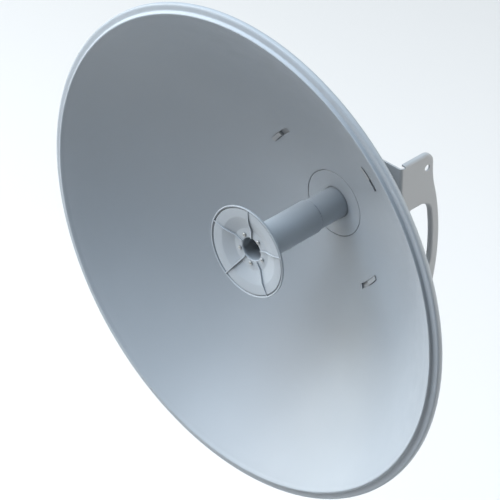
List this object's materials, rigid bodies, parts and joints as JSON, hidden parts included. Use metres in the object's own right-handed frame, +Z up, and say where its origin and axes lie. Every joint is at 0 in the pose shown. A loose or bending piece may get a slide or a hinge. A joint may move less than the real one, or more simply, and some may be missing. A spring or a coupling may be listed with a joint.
{
  "type": "point-to-point dish antenna",
  "caption": "Deep round parabolic dish antenna with axial feed tube and ribbed sub-reflector, pressed rear bracket with D-shaped cheeks and an adjustable side pole clamp.",
  "frame": {"origin": "on the axis of the pole that the clamp grips, level with the dish's own axis at rest", "axes": "+Z up along the pole, -Y the way the dish looks, +X from the pole towards the dish"},
  "size_m": [0.65, 0.2977, 0.65],
  "materials": {
    "reflector_paint": "light blue-grey powder coat, satin, on pressed sheet",
    "bracket_paint": "light warm-grey powder coat on pressed steel",
    "feed_plastic": "moulded weatherproof plastic, light blue-grey, fine satin texture",
    "cast_housing": "die-cast aluminium, fine blasted",
    "galvanised_plate": "hot-dip galvanised steel plate with a faint spangle",
    "zinc_fastener": "zinc-plated steel",
    "contact_brass": "plated brass, machined",
    "seal_rubber": "black elastomer"
  },
  "bodies": {
    "pole_clamp": {"pole_saddle": "galvanised_plate", "clamp_bolt_upper_front": "zinc_fastener", "clamp_bolt_upper_rear": "zinc_fastener", "clamp_bolt_lower_front": "zinc_fastener", "clamp_bolt_lower_rear": "zinc_fastener"},
    "upper_jaw": {"clamp_jaw_upper": "galvanised_plate", "clamp_nut_upper_front": "zinc_fastener", "clamp_nut_upper_rear": "zinc_fastener"},
    "lower_jaw": {"clamp_jaw_lower": "galvanised_plate", "clamp_nut_lower_front": "zinc_fastener", "clamp_nut_lower_rear": "zinc_fastener"},
    "azimuth_arm": {"azimuth_yoke": "galvanised_plate", "azimuth_pivot_bolt": "zinc_fastener", "azimuth_pivot_nut": "zinc_fastener", "azimuth_lock_bolt": "zinc_fastener", "azimuth_lock_nut": "zinc_fastener"},
    "tilting_frame": {"side_plate": "galvanised_plate", "cheek_bolt_upper": "zinc_fastener", "cheek_nut_upper": "zinc_fastener", "cheek_bolt_lower": "zinc_fastener", "cheek_nut_lower": "zinc_fastener", "elevation_pivot_bolt": "zinc_fastener", "elevation_pivot_nut": "zinc_fastener", "elevation_lock_bolt": "zinc_fastener", "elevation_lock_nut": "zinc_fastener", "dish_bracket": "bracket_paint", "hub_plate": "reflector_paint", "feed_collar": "feed_plastic", "sleeve_seal": "seal_rubber", "feed_sleeve": "feed_plastic", "waveguide": "cast_housing", "subreflector": "feed_plastic", "subreflector_screw_1": "zinc_fastener", "subreflector_screw_2": "zinc_fastener", "subreflector_screw_3": "zinc_fastener", "subreflector_screw_4": "zinc_fastener", "subreflector_screw_5": "zinc_fastener", "feed_housing": "cast_housing", "housing_cover": "cast_housing", "housing_screw_1": "zinc_fastener", "housing_screw_2": "zinc_fastener", "housing_screw_3": "zinc_fastener", "housing_screw_4": "zinc_fastener", "cover_screw_1": "zinc_fastener", "cover_screw_2": "zinc_fastener", "cover_screw_3": "zinc_fastener", "cover_screw_4": "zinc_fastener", "connector_vertical": "contact_brass", "connector_horizontal": "contact_brass", "probe_vertical": "contact_brass", "probe_horizontal": "contact_brass"},
    "dish": {"reflector": "reflector_paint", "reflector_centre": "reflector_paint"}
  },
  "joints": [
    {"name": "azimuth_swivel", "type": "hinge", "parent": "pole_clamp", "child": "azimuth_arm", "pos_m": [0.059, 0, 0], "axis": [0, 0, 1], "range_deg": [-15, 15]},
    {"name": "elevation_tilt", "type": "hinge", "parent": "azimuth_arm", "child": "tilting_frame", "pos_m": [0.1017, 0, -0.042], "axis": [-1, 0, 0], "range_deg": [-20, 20]},
    {"name": "reflector_twist", "type": "hinge", "parent": "tilting_frame", "child": "dish", "pos_m": [0.237, -0.232, 0], "axis": [0, -1, 0], "range_deg": [0, 8]},
    {"name": "upper_jaw_slide", "type": "slide", "parent": "pole_clamp", "child": "upper_jaw", "axis": [-1, 0, 0], "range_m": [-0.015, 0.024]},
    {"name": "lower_jaw_slide", "type": "slide", "parent": "pole_clamp", "child": "lower_jaw", "axis": [-1, 0, 0], "range_m": [-0.015, 0.024]}
  ]
}
